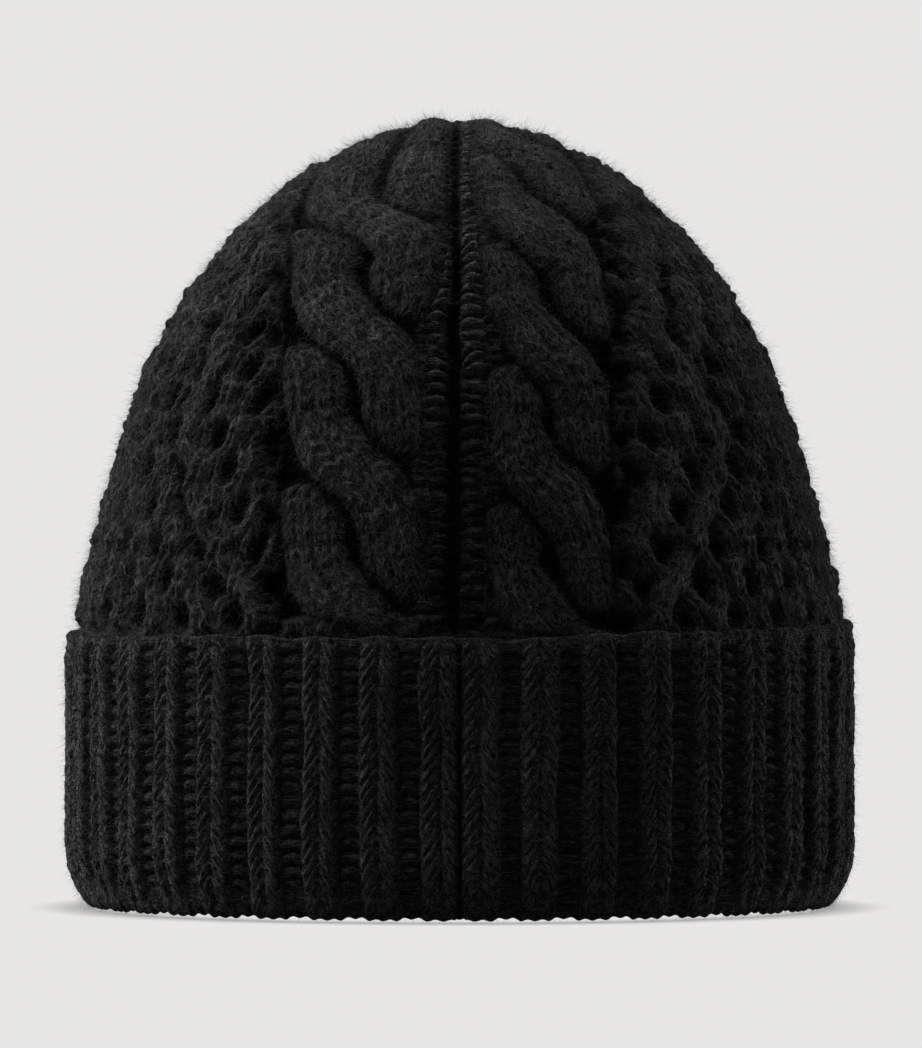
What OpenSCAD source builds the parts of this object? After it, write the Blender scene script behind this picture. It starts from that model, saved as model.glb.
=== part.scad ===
// Cable-knit beanie with a turn-up cuff.
// The hat stands on its rim. The origin is on the floor at the middle of the head
// opening, +Z is up, the back seam is on the -Y side and left is -X.
// The knitted body is one wall, divided where its stitch patterns change: four
// rope-cable panels, two honeycomb panels, the back seam strip, the gathered top
// and the inner rib band.
// The cuff is folded outwards and up around the turn edge at the bottom of the
// band. It is divided in its purl gutters, one piece to each rib, so that it can
// turn down.

/* [Cuff] */
// Outside radius of the cuff, at the tops of the ribs
cuff_radius = 95; // [94:0.1:96]
// Height of the folded cuff
cuff_height = 67.5; // [55:0.5:68]
// Radial thickness of the folded cuff, rib tops to back
cuff_thickness = 4.2; // [3:0.1:4.2]
// Depth of the purl gutters between the ribs
gutter_depth = 2.5; // [1:0.1:2.6]

/* [Inner band] */
// Radius of the head opening
opening_radius = 86; // [85:0.1:87]
// Thickness of the inner rib band
band_thickness = 4.3; // [3:0.1:4.3]
// Height of the inner rib band, turn edge to crown
band_height = 69; // [68.5:0.5:71]

/* [Crown] */
// Outside radius of the crown just above the cuff
crown_radius = 93; // [92:0.1:94]
// Height of the whole hat
hat_height = 189.5; // [180:0.5:200]
// Wall thickness of the crown panels
crown_thickness = 4.5; // [3:0.1:5]
// How full the dome is: a higher value gives squarer shoulders
crown_fullness = 1.6; // [1.5:0.05:1.9]
// How far the lower crown is drawn in from a full dome
crown_draw = 1.9; // [0:0.1:2.5]

/* [Panels] */
// Half width of the back seam strip
seam_half = 2.5; // [2:0.1:4]
// Distance from the centre line to the outer edge of each cable panel
cable_edge = 46; // [42:0.5:50]
// Radius of the gathered top
gather_radius = 8; // [6:0.5:12]

/* [Hidden] */
ribs = 40;                     // ribs around the cuff
function rib_name(i) = str("cuff_rib_", i < 10 ? "0" : "", i);

gap = 0.25;                    // clearance between neighbouring pieces

cable_color = [0.070, 0.070, 0.073];
honeycomb_color = [0.062, 0.062, 0.065];

// ---- Crown ----
dome_height = hat_height - band_height;
draw_height = 60;              // height over which the lower crown is drawn in
profile_steps = 26;
slice_margin = 5;              // cutting blocks pass the crown by this, above and below
far = crown_radius + 10;       // beyond the outside of the hat

// Outside radius of the crown at height z
function crown_outside(z) =
    let (rise = z - band_height,
         fraction = max(0, min(1, rise / dome_height)),
         draw = rise < draw_height ? crown_draw * sin(180 * rise / draw_height) : 0)
    crown_radius * sqrt(max(0, 1 - pow(fraction, crown_fullness))) - draw;

// Heights of the profile, closer together towards the top
function profile_z(i) =
    band_height + gap + (dome_height - gap) * (1 - pow(1 - i / profile_steps, 2));

// Outer profile, bottom to top: [radius, height]
outer_line = [for (i = [0 : profile_steps]) [crown_outside(profile_z(i)), profile_z(i)]];

// Unit normal of the outer profile, pointing out of the hat
function profile_normal(i) =
    let (chord = outer_line[min(profile_steps, i + 1)] - outer_line[max(0, i - 1)],
         tangent = chord / norm(chord))
    [tangent[1], -tangent[0]];

// Inner profile, one wall thickness in. The bottom edge is level.
inner_line = [for (i = [0 : profile_steps])
    outer_line[i] - crown_thickness * (i == 0 ? [1, 0] : profile_normal(i))];

// The part of a profile outside a radius, ending in a point at that radius.
// Points less than 1 mm outside it are left out.
function trimmed(line, radius) =
    let (last = max([for (i = [0 : profile_steps]) if (line[i][0] > radius + 1) i]),
         below = line[last],
         above = line[last + 1],
         share = (below[0] - radius) / (below[0] - above[0]))
    concat([for (i = [0 : last]) line[i]],
           [[radius, below[1] + (above[1] - below[1]) * share]]);

function reversed(points) = [for (i = [len(points) - 1 : -1 : 0]) points[i]];

// The whole crown wall, from the band up to the gathered top
module crown_wall() {
    hole_radius = gather_radius + gap;
    rotate_extrude($fn = 96)
        polygon(concat(trimmed(outer_line, hole_radius),
                       reversed(trimmed(inner_line, hole_radius))));
}

// The part of the crown wall between two X planes and two Y planes. The cuts
// stand off half a clearance from each plane.
module crown_slice(x_min, x_max, y_min, y_max) {
    intersection() {
        crown_wall();
        translate([x_min + gap / 2, y_min + gap / 2, band_height - slice_margin])
            cube([x_max - x_min - gap, y_max - y_min - gap,
                  dome_height + 2 * slice_margin]);
    }
}

module back_cable_panel_left() {
    color(cable_color) crown_slice(-cable_edge, -seam_half, -far, 0);
}

module back_cable_panel_right() {
    color(cable_color) crown_slice(seam_half, cable_edge, -far, 0);
}

module honeycomb_panel_left() {
    color(honeycomb_color) crown_slice(-far, -cable_edge, -far, far);
}

module honeycomb_panel_right() {
    color(honeycomb_color) crown_slice(cable_edge, far, -far, far);
}

module front_cable_panel_left() {
    color(cable_color) crown_slice(-cable_edge, 0, 0, far);
}

module front_cable_panel_right() {
    color(cable_color) crown_slice(0, cable_edge, 0, far);
}

// The strip at the middle of the back where the two knitted edges are joined
module back_seam() {
    color([0.045, 0.045, 0.048]) crown_slice(-seam_half, seam_half, -far, 0);
}

// The last stitches, drawn together: a shallow button with a conical dimple in
// its top and a round recess in its underside
module crown_gather() {
    top_drop = 1.3;            // top of the button below the top of the hat
    hang = 3.5;                // button below the inside of the wall
    recess_radius = 3.2;
    recess_depth = 1.6;
    dimple_radius = 3.4;
    dimple_height = 1.2;
    dimple_drop = 2.4;         // tip of the dimple below the top of the hat
    base_z = hat_height - crown_thickness - hang;

    color([0.050, 0.050, 0.053])
    rotate_extrude($fn = 48)
        difference() {
            translate([0, base_z])
                square([gather_radius, crown_thickness + hang - top_drop]);
            translate([0, base_z]) square([recess_radius, recess_depth]);
            translate([0, hat_height - dimple_drop])
                polygon([[0, 0], [dimple_radius, dimple_height], [0, dimple_height]]);
        }
}

// ---- Inner band ----
module inner_rib_band() {
    color([0.055, 0.055, 0.058])
    rotate_extrude($fn = 160)
        translate([opening_radius, 0]) square([band_thickness, band_height]);
}

// ---- Cuff ----
rib_step = 360 / ribs;         // angle of one rib
turn_radius = opening_radius + band_thickness + gap;   // radius of the turn edge
rib_inset = 0.55;              // from the edge of the rib's sector to its side
rib_base_z = 0.3;              // underside of the ribs above the floor

// Plan of one rib, pointing to +Y: straight sides up to the gutter floors, then
// two knit wales with a shallow line between them
module rib_plan() {
    half = turn_radius * tan(rib_step / 2) - rib_inset;
    gutter_floor = cuff_radius - gutter_depth;
    // +X side, from the back of the cuff to the line between the wales
    side = [
        [half, cuff_radius - cuff_thickness],
        [half, gutter_floor],
        [half - 1.9, gutter_floor + 0.7 * gutter_depth],
        [half - 3.2, cuff_radius],
        [1.0, cuff_radius - 0.15]];
    polygon(concat(
        side,
        [[0, cuff_radius - 0.7]],
        [for (point = reversed(side)) [-point[0], point[1]]]));
}

// One rib of the folded cuff, numbered from the back seam towards +X
module cuff_rib(i) {
    color([0.065, 0.065, 0.068])
    rotate([0, 0, 180 + (i - 0.5) * rib_step])
        translate([0, 0, rib_base_z])
            linear_extrude(height = cuff_height - rib_base_z) rib_plan();
}

inner_rib_band();
back_cable_panel_left();
back_cable_panel_right();
honeycomb_panel_left();
honeycomb_panel_right();
front_cable_panel_left();
front_cable_panel_right();
back_seam();
crown_gather();
for (i = [1 : ribs])
    cuff_rib(i);
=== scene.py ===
# A dark cable-knit hat with a turned-up ribbed cuff. It stands on its opening at z = 0 with
# its axis on Z. The back, with its seam, faces -Y and the camera; +X is the right side.
# Shapes are worked out in millimetres; lights, camera and floor are placed in metres.
#
# Angles run round the axis from the middle of the back (-Y) towards +X. "arc" is the
# distance along the crown's profile, up from the top of the inner band.
import math

import bpy
import numpy as np
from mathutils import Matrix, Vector


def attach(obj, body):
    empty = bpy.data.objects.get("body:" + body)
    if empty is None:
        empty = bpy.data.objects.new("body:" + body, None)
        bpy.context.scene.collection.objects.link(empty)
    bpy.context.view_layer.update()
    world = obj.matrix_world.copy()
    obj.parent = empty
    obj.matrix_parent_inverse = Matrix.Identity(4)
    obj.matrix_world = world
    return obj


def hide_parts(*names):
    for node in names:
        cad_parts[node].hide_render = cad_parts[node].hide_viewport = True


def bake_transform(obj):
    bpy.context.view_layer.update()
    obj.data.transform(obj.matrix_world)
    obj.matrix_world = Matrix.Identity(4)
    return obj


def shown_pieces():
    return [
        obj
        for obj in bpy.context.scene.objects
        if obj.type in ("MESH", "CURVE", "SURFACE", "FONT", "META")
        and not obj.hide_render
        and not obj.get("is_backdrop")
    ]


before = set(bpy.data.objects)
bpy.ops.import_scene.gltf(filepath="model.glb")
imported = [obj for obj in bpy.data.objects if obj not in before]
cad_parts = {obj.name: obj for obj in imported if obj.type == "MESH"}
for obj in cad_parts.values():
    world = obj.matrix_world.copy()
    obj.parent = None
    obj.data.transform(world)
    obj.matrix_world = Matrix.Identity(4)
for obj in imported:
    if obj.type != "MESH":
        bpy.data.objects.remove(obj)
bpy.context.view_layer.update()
TAU = 2.0 * math.pi

# ------------------------------------------------------------------ helpers
LATTICE = np.random.RandomState(41).rand(32, 32, 32) * 2 - 1


def unit(value):
    return np.clip(value, 0, 1)


def mix(first, second, share):
    return first * (1 - share) + second * share


def noise(points, cell, shift=0.0):
    """Smooth value noise in -1..1 at points (..., 3), with cells of the given size."""
    scaled = points / cell + shift
    low = np.floor(scaled).astype(np.int64)
    part = scaled - low
    part = part * part * (3 - 2 * part)
    x0, y0, z0 = np.moveaxis(low % 32, -1, 0)
    x1, y1, z1 = np.moveaxis((low + 1) % 32, -1, 0)
    part_x, part_y, part_z = np.moveaxis(part, -1, 0)

    def along_x(y, z):
        return mix(LATTICE[x0, y, z], LATTICE[x1, y, z], part_x)

    return mix(
        mix(along_x(y0, z0), along_x(y1, z0), part_y),
        mix(along_x(y0, z1), along_x(y1, z1), part_y),
        part_z,
    )


def smooth(value, low=0.0, high=1.0):
    """Smooth step from 0 at low to 1 at high."""
    part = unit((value - low) / (high - low))
    return part * part * (3 - 2 * part)


def soft_max(first, second, rounding):
    share = unit(0.5 + 0.5 * (first - second) / rounding)
    return mix(second, first, share) + rounding * share * (1 - share)


def bell(value, width):
    return np.exp(-((value / width) ** 2))


def wave(distance, pitch):
    return np.cos(TAU * distance / pitch)


def frac(value):
    return value - np.floor(value)


def around(radius, angle, z):
    """Vectors (..., 3) from a radius, an angle from the middle of the back, and a height."""
    return np.stack([radius * np.sin(angle), -radius * np.cos(angle), z], axis=-1)


def grid_quads(grid):
    """Quads over a 2D array of vertex numbers."""
    corners = [grid[:-1, :-1], grid[:-1, 1:], grid[1:, 1:], grid[1:, :-1]]
    return np.stack(corners, axis=-1).reshape(-1, 4)


def turned(quads):
    """The same quads facing the other way."""
    return quads[:, [0, 3, 2, 1]]


def joining_faces(fine, coarse, step):
    """Faces between two lines of vertices, with `step` fine edges to each coarse one."""
    i = np.arange(len(coarse) - 1)
    fine_part = fine[i[:, None] * step + np.arange(step + 1)]
    return np.concatenate([fine_part, coarse[i + 1][:, None], coarse[i][:, None]], axis=1)


def make_mesh(name, verts, quads, ngons, material, painted_shade=None, fib=None, flat=None):
    """A smooth-shaded mesh from vertices in mm and lists of arrays of quads and of n-gons.

    The painted shade is 0 in the hollows and 1 on the ridges, fib (2, N) holds the lie of the
    fibres in mm (across, along), and flat is 1 where the fibres lie level, as they do in purl bars.
    """
    mesh = bpy.data.meshes.new(name)
    count = len(verts)
    mesh.vertices.add(count)
    mesh.vertices.foreach_set("co", (verts * 0.001).astype(np.float32).ravel())
    faces = [np.concatenate(quads)] + ngons
    loops = np.concatenate([group.ravel() for group in faces]).astype(np.int32)
    totals = np.concatenate([np.full(len(group), group.shape[1], np.int32) for group in faces])
    starts = np.concatenate([[0], np.cumsum(totals)[:-1]]).astype(np.int32)
    mesh.loops.add(len(loops))
    mesh.loops.foreach_set("vertex_index", loops)
    mesh.polygons.add(len(totals))
    mesh.polygons.foreach_set("loop_start", starts)
    mesh.polygons.foreach_set("loop_total", totals)
    mesh.polygons.foreach_set("use_smooth", np.ones(len(totals), bool))
    mesh.update(calc_edges=True)
    mesh.validate()
    painted_shade = np.full(count, 0.7) if painted_shade is None else painted_shade
    flat = np.zeros(count) if flat is None else flat
    fib = np.zeros((2, count)) if fib is None else fib
    for label, values in (("painted_shade", painted_shade), ("flat", flat)):
        attribute = mesh.attributes.new(label, "FLOAT", "POINT")
        attribute.data.foreach_set("value", values.astype(np.float32))
    vectors = np.vstack([fib, np.zeros(count)]).T.astype(np.float32)
    mesh.attributes.new("fib", "FLOAT_VECTOR", "POINT").data.foreach_set("vector", vectors.ravel())
    piece = bpy.data.objects.new(name, mesh)
    bpy.context.scene.collection.objects.link(piece)
    mesh.materials.append(material)
    return piece


def add_node(tree, kind, inputs, **settings):
    """A node whose inputs are given as values, or as sockets to link from."""
    node = tree.nodes.new(kind)
    for key, value in settings.items():
        setattr(node, key, value)
    for key, value in inputs.items():
        if isinstance(value, bpy.types.NodeSocket):
            tree.links.new(value, node.inputs[key])
        else:
            node.inputs[key].default_value = value
    return node


# ------------------------------------------------------------ crown profile
BAND_TOP = 64.5
BAND_ENVELOPE_R = 90.25
CROWN_Z0, CROWN_R = 69.0, 93.0
HAT_H = 189.5
CLOSE_R = 6.4  # the knitted shells end here, round the gathered top
DIP, DIP_H = 1.9, 60.0  # the wall is drawn in this much over the lowest part of the crown


def envelope_radius(z):
    part = unit((z - CROWN_Z0) / (HAT_H - CROWN_Z0))
    in_dip = (z > CROWN_Z0) & (z < CROWN_Z0 + DIP_H)
    dip = np.where(in_dip, DIP * np.sin(math.pi * (z - CROWN_Z0) / DIP_H), 0)
    crown = CROWN_R * np.sqrt(np.maximum(0, 1 - part**1.6)) - dip
    return mix(BAND_ENVELOPE_R, crown, smooth(z, 65.0, 69.6))


def averaged(values):
    return np.convolve(np.pad(values, 80, "edge"), np.ones(161) / 161, "valid")


profile_z = BAND_TOP + (HAT_H - BAND_TOP) * (1 - (1 - np.linspace(0, 1, 4001)) ** 2)
profile_r = envelope_radius(profile_z)
profile_arc = np.concatenate([[0], np.cumsum(np.hypot(np.diff(profile_r), np.diff(profile_z)))])
ARC_END = profile_arc[np.argmax((profile_r < CLOSE_R) & (profile_z > 150))]
# outward normal of the profile, from smoothed slopes
normal_r = averaged(np.gradient(profile_z))
normal_z = averaged(-np.gradient(profile_r))
normal_length = np.hypot(normal_r, normal_z)
normal_r, normal_z = normal_r / normal_length, normal_z / normal_length


def profile(arc):
    """Radius, height and the two parts of the normal at a place on the profile."""
    columns = (profile_r, profile_z, normal_r, normal_z)
    return [np.interp(arc, profile_arc, column) for column in columns]


def arc_at(z):
    return np.interp(z, profile_z, profile_arc)


# ------------------------------------------------------------- knit patterns
ROW = 3.25  # height of one knitted row of the crown
PURL_ROW = 3.15  # height of one row of the purl ground
LEAN = math.radians(32)  # how far the legs of a stitch lean from its wale
SOFT_LEAN = math.radians(15)  # the same, in the strands of the crown


def wales(across, row, slant=0.75):
    """Height 0..1 of V stitches in a wale: across runs -1..1 over it and row counts rows."""
    dome = unit(1 - np.abs(across) ** 3) ** 0.6 * (1 - 0.30 * bell(across, 0.2))
    ripple = 0.5 + 0.5 * wave(row - slant * np.abs(across), 1)
    return dome * (0.66 + 0.34 * ripple)


def in_wale(across, count):
    """Place -1..1 within one wale of a strand that is `count` wales wide."""
    return 2 * frac((np.clip(across, -0.999, 0.999) + 1) * 0.5 * count) - 1


def lie(across, along, lean=LEAN):
    """Fibre coordinates (2, ...) of a V stitch: across and along its legs, in mm."""
    cosine, sine = math.cos(lean), math.sin(lean)
    return np.array([across * cosine - along * sine, across * sine + along * cosine])


def purls(across, row):
    """Height 0..1 of a purl column: short bowed bars lying across it."""
    part = frac(row + 0.22 * across * across) - 0.5
    width = np.sqrt(unit(1 - (across / 1.08) ** 2))
    return width * unit(1 - (part / 0.46) ** 2) ** 0.7


def strand_relief(across, top, along):
    """Height and fibres of one cable strand, four wales wide; -9 beside it."""
    edge = unit(np.abs(across))
    wale = in_wale(across, 4)
    height = top * (1 - edge**3.8) ** 0.66
    height = height + 1.15 * (wales(wale, along / ROW, 0.7) - 0.70) * unit(1.15 - edge**4)
    fib = lie(np.abs(wale) * 2.05, along, SOFT_LEAN)
    return np.where(np.abs(across) < 1, height, -9.0), fib


class Cable:
    """A two-strand cable. Each crossing takes the left strand over to the right going down.

    stations: rows of (z, x of the middle, half width). crossings: their arcs, rising.
    gap: between the strands. spread: widening of the upper strand at a crossing.
    shade: darkness beside the upper strand. taper: narrowing of the lower strand.
    quick: how much faster than usual each crossing turns.
    """

    END_REACH = 17.0  # arc taken by the outer halves of the first and last crossings

    def __init__(self, stations, crossings, gap, spread=0.5, shade=0.7, taper=3.0, quick=1.0):
        station_z, self.centre_x, self.half_width = np.array(stations, float).T
        self.station_arc = arc_at(station_z)
        self.crossings = np.array(crossings, float)
        middles = (self.crossings[1:] + self.crossings[:-1]) / 2
        self.above = np.append(middles - self.crossings[:-1], self.END_REACH)
        self.below = np.insert(self.crossings[1:] - middles, 0, self.END_REACH)
        self.gap, self.spread, self.shade, self.taper = gap, spread, shade, taper
        self.quick = np.ones(len(self.crossings)) * quick
        # length along the slanting upper strand
        self.length_arc = np.linspace(-10, profile_arc[-1] + 10, 3000)
        slope = self.strands(self.length_arc)[3]
        step = self.length_arc[1] - self.length_arc[0]
        self.length = np.cumsum(np.sqrt(1 + slope * slope) * step)

    def place(self, arc):
        """Middle and half width of the whole cable."""
        return (
            np.interp(arc, self.station_arc, self.centre_x),
            np.interp(arc, self.station_arc, self.half_width),
        )

    def strands(self, arc):
        """Phase -1..1 of the crossing, x of the upper and lower strand, slope of the upper."""
        swing = self.place(arc)[1] * 0.5 + self.gap * 0.25
        nearest = np.abs(arc[:, None] - self.crossings[None, :]).argmin(axis=1)
        offset = arc - self.crossings[nearest]
        reach = np.where(offset > 0, self.above[nearest], self.below[nearest])
        reach = reach / self.quick[nearest]
        phase = np.clip(offset / reach, -1, 1)
        part = (phase + 1) / 2
        slope = -2 * swing * 6 * part * (1 - part) / (2 * reach)
        upper = swing * (1 - 2 * smooth(part))
        lower = -swing * (1 - 2 * smooth((phase * 2.5 + 1) / 2))
        return phase, upper, lower, slope

    def relief(self, x, arc):
        """Height, how far inside the cable (0..1), fibre coordinates and shade."""
        centre, half_width = self.place(arc)
        x = x - centre
        phase, upper_x, lower_x, slope = self.strands(arc)
        swell = np.cos(phase * math.pi / 2) ** 2
        strand_half = half_width * 0.5 - self.gap * 0.25
        upper_half = strand_half * (1 + self.spread * swell)
        upper_across = (x - upper_x) / upper_half
        along = np.interp(arc, self.length_arc, self.length)
        along = along + (x - upper_x) * slope / np.sqrt(1 + slope * slope) * 0.9
        upper, upper_fib = strand_relief(upper_across, 3.75 + 0.8 * swell, along)
        # the lower strand comes out narrow and runs out in a point
        head = self.taper * unit(1 - phase) * (phase > 0)
        tail = 1.6 * self.taper * smooth(phase, -0.75, -0.05) * (phase <= 0)
        lower_x = lower_x + (head - tail) / 2
        lower_half = strand_half * (1 + 0.12 * swell) - (head + tail) / 2
        lower_top = 3.75 - 3.3 * bell(phase, 0.22)
        lower, lower_fib = strand_relief((x - lower_x) / lower_half, lower_top, arc * 1.12)
        # beside the upper strand the lower one lies in its shade
        away = np.clip((np.abs(upper_across) - 1) * upper_half, 0, 9)
        shade = 1 - self.shade * np.exp(-((away / 1.7) ** 1.6))
        on_upper = upper >= lower
        height = soft_max(np.maximum(upper, -0.6), np.maximum(lower, -0.6), 0.15)
        inside = unit((half_width + 0.4 - np.abs(x)) / 0.8)
        fib = np.where(on_upper, upper_fib, lower_fib)
        return height, inside, fib, np.where(on_upper, 1.0, shade)


# Cable stations: z, x of the middle, half width
LEFT = Cable(
    [
        (60, -25.6, 18.4), (145, -25.6, 18.4), (160, -22.5, 19.5), (165, -21.5, 20.5),
        (170, -21.0, 19.0), (178, -19.0, 16.5), (186, -13.5, 12.0), (190, -9, 8),
    ],
    arc_at([39.0, 73.0, 107.3, 141.0, 166.3]),
    gap=1.8,
    quick=[1, 1, 1, 1, 1.45],
)
RIGHT = Cable(
    [
        (60, 22.0, 15.4), (140, 22.0, 15.4), (150, 20.8, 15.4),
        (168, 18.8, 15.6), (183, 14.5, 12.5), (190, 9, 8),
    ],
    arc_at([36.0, 69.5, 103.7, 135.6, 164.5, 183.6]),
    gap=2.0,
    spread=0.42,
    shade=0.97,
    taper=3.8,
)
FRONT_STATIONS = [
    (60, 24.5, 17.2), (145, 24.0, 17.0), (164, 21.5, 16.6),
    (178, 19.0, 15.6), (186, 13.5, 12.0), (190, 9, 8),
]
# left and right as seen from the front
FRONT_LEFT = Cable(
    [(z, -x, half) for z, x, half in FRONT_STATIONS],
    [-26.0, 8.0, 42.0, 76.0, 110.0, 140.0],
    gap=2.0,
)
FRONT_RIGHT = Cable(FRONT_STATIONS, [-18.0, 16.0, 50.0, 84.0, 118.0, 146.0], gap=2.0)

# Ogee strands beside the cables: heights z, then distances from the middle of the face
OGEE_RIGHT = (
    [64, 76, 90, 104, 112, 120, 130, 139, 150, 160, 172],
    [45, 49, 57, 62, 62.5, 60, 54.5, 49, 46, 46, 41],
)
OGEE_LEFT = (
    [64, 76, 84, 92.5, 100, 109, 119, 128, 138, 150, 160, 172],
    [45, 49, 56.5, 61.5, 64.6, 65.5, 65.3, 62, 58, 52, 47, 41],
)
OGEE_HALF = 4.3
HONEY_PITCH, HONEY_RISE = 17.0, 18.2  # width and height of one honeycomb repeat
HONEY_ARC = float(arc_at(80.0))  # the repeats are counted from here
HOLE_PITCH = 15.7
HOLE_ARC_RIGHT, HOLE_ARC_OTHERS = float(arc_at(130.0)), float(arc_at(126.4))


def honeycomb(side_x, arc):
    """Height and fibres of wavy strands that meet and part; side_x is mm from the side line."""
    swing, strand_half, steep = 1.9, 4.35, 1.2
    side_x = side_x + 1.6
    phase = TAU * (arc - HONEY_ARC) / HONEY_RISE + math.pi / 2
    bend = np.tanh(steep * np.sin(phase))
    sway = bend / math.tanh(steep)
    sway_rate = steep * np.cos(phase) * (1 - bend**2) / math.tanh(steep)
    nearest = np.floor(side_x / (HONEY_PITCH / 2) + 0.5)
    best = np.full(side_x.shape, -9.0)
    fib = np.array([np.zeros(side_x.shape), arc])
    for neighbour in (-1, 0, 1):
        strand = nearest + neighbour
        sign = np.where(np.mod(strand, 2) == 0, 1.0, -1.0)
        offset = side_x - (strand * HONEY_PITCH / 2 + sign * swing * sway)
        slope = sign * swing * sway_rate * TAU / HONEY_RISE
        stretch = np.sqrt(1 + slope * slope)
        across = offset / (strand_half * stretch)
        edge = unit(np.abs(across))
        top = 3.9 + 0.7 * sign * np.abs(sway) ** 2 * np.sign(sway + 1e-9)
        wale = in_wale(across, 2)
        row = (arc + offset * slope / stretch) / ROW + 0.5 * np.mod(strand, 2)
        height = top * (1 - edge**2.3) ** 0.65
        height = height + 1.5 * (wales(wale, row, 0.8) - 0.7) * unit(1.1 - edge**3)
        height = np.where(np.abs(across) < 1, height, -9.0)
        fib = np.where(height > best, lie(np.abs(wale) * 1.9, row * ROW, SOFT_LEAN), fib)
        best = soft_max(best, height, 0.2)
    ground = -0.15 + 0.25 * wales(2 * frac(side_x / 4.0) - 1, arc / ROW)
    return soft_max(best, ground, 0.4), fib


def add_ogee(height, fib, x, angle, radius, z, arc, points):
    """Lay the ogee strands over the honeycomb."""

    def strand_x(at_z):
        right, left = np.interp(at_z, *OGEE_RIGHT), np.interp(at_z, *OGEE_LEFT)
        return np.where(angle > 0, right, left)

    slope = (strand_x(z + 1) - strand_x(z - 1)) / 2
    fade = smooth(radius, 46, 56)
    offset = (np.abs(x) - strand_x(z)) / np.maximum(np.cos(angle), 0.35) / np.sqrt(1 + slope**2)
    edge = unit(np.abs(offset) / OGEE_HALF)
    strand = 3.9 * (1 - edge**2.4) ** 0.65 * (1 + 0.10 * wave(arc - HONEY_ARC, HONEY_RISE))
    wale = in_wale(offset / OGEE_HALF, 2)
    along = arc + offset * slope * 0.6
    strand = strand + 1.25 * (wales(wale, along / ROW, 0.8) - 0.7)
    strand = strand + 0.5 * noise(points, 4.2, 41.0)
    strand = np.where(np.abs(offset) < OGEE_HALF, strand, -1) - 4.5 * (1 - fade)
    # a groove along each edge of the strand
    height = height - fade * 1.5 * bell(offset - 5.6, 1.3) - fade * 0.7 * bell(offset + 5.2, 1.3)
    fib = np.where(strand > height, lie(np.abs(wale) * 2.1, along, SOFT_LEAN), fib)
    return np.where(fade > 0.01, soft_max(height, strand, 0.3), height), fib


def add_cable(cable, surface, x, radius, z, arc, wander, points):
    """Lay a cable and its purl grounds over a surface: height, flat, fibres (2) and shade."""
    height, flat, fib, shade = surface[0], surface[1], surface[2:4], surface[4]
    cable_h, inside, cable_fib, cable_shade = cable.relief(x, arc)
    centre, half_width = cable.place(arc)
    from_middle = np.abs(x)

    # purl column with holes on the far side of the cable
    beyond = from_middle - (np.abs(centre) + half_width)
    hole_arc = HOLE_ARC_RIGHT if cable is RIGHT else HOLE_ARC_OTHERS
    deep = 0.30 + 0.70 * (0.5 + 0.5 * wave(arc - hole_arc, HOLE_PITCH)) ** 1.7
    deep = deep * smooth(radius, 34, 52)
    column = bell(beyond - 2.0, 2.1) * (beyond > -2)
    bars = purls((beyond - 2.0) / 2.4, arc / ROW)
    side = height * (1 - 0.95 * column * deep) + (0.4 + 1.1 * (1 - deep)) * column * bars

    # purl ground between the cable and the middle
    before = (np.abs(centre) - half_width) - from_middle
    vary = 0.75 + 0.45 * noise(points, 8.0, 33.0)
    rows = arc / PURL_ROW + 0.5 * noise(points, 7.0, 51.0)
    row = np.floor(rows + 0.25)

    def per_row(scale, y, shift):
        return noise(np.stack([row * scale, row * 0.0 + y, row * 0.0], axis=1), 1.0, shift)

    row_size, row_skew = per_row(0.73, 0.0, 0.37), per_row(0.61, 5.3, 0.71)
    skew = rows + 0.10 * (from_middle - 3.7) * row_skew
    lift = smooth(z, 110, 150)
    if cable is RIGHT:
        across = (from_middle - 3.5 - 0.5 * wander) / (3.4 + 0.8 * row_skew)
        rung = purls(across, skew + 0.15 * wander) ** (1.0 + 0.5 * row_size)
        ground = 0.5 + 0.7 * lift + (2.0 + 1.5 * lift) * vary * (1 + 0.55 * row_size) * rung
        ground = ground - 0.4 * smooth(from_middle, 7, 9)
    elif cable is LEFT:
        across = (from_middle - 5.0 - 0.5 * wander) / 3.1
        rung = purls(across, skew + 0.45 + 0.2 * wander) ** 1.6
        ground = 0.8 + 0.7 * lift + (1.8 + 1.7 * lift) * vary * (1 + 0.5 * row_size) * rung
        ground = ground - 0.6 * smooth(3.4 - from_middle, 0, 2.2)
    else:
        across = 2 * frac(x / 4.4 + 0.5) - 1
        stagger = 0.5 * (np.floor(x / 4.4 + 0.5) % 2)
        ground = 0.9 + 1.1 * vary * purls(across, arc / PURL_ROW + stagger)
    base = np.where(before > 0, ground, side)

    # the cable lies over its ground
    low_ground = 0.15 + 0.5 * purls(2 * frac(x / 4.2) - 1, arc / ROW)
    # beside the tapered ends of the strands the ground stands higher towards the middle
    offset = x - centre
    rise = smooth(6.5 - (half_width - np.abs(offset)), 0, 4.0) * (offset * centre < 0)
    high = 1.3 + 1.5 * vary * purls((-before - 2.4) / 3.2, skew + 0.5)
    low_ground = mix(low_ground, high, rise)
    laid = soft_max(cable_h, mix(base, low_ground, inside), 0.25)
    laid = np.where(inside > 0, laid, base)
    # under the converging top the cable runs into the middle ground
    laid = mix(laid, ground, smooth(z, 160, 176) * (1 - smooth(from_middle, 2.0, 5.5)))

    above_ground = cable_h > low_ground
    in_cable = (inside > 0.5) & above_ground
    level = np.where((before > 0) | (inside > 0.5), 1.0, 0.8 * column)
    # painted shade: dark on the low ground inside the cable and in the holes of the purl column,
    # lifted on the purl ground towards the middle
    inner_shade = np.where(above_ground, cable_shade, 0.3 + 0.75 * rise)
    outer_shade = (1 - 0.4 * column * deep) * np.where(before > 0, 1.45, 1.0)
    flat = np.where(in_cable, 0.0, level)
    fib = np.where(in_cable, cable_fib, fib)
    shade = np.where(inside > 0.5, inner_shade, outer_shade)
    return np.vstack([laid, flat, fib, shade])


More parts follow.
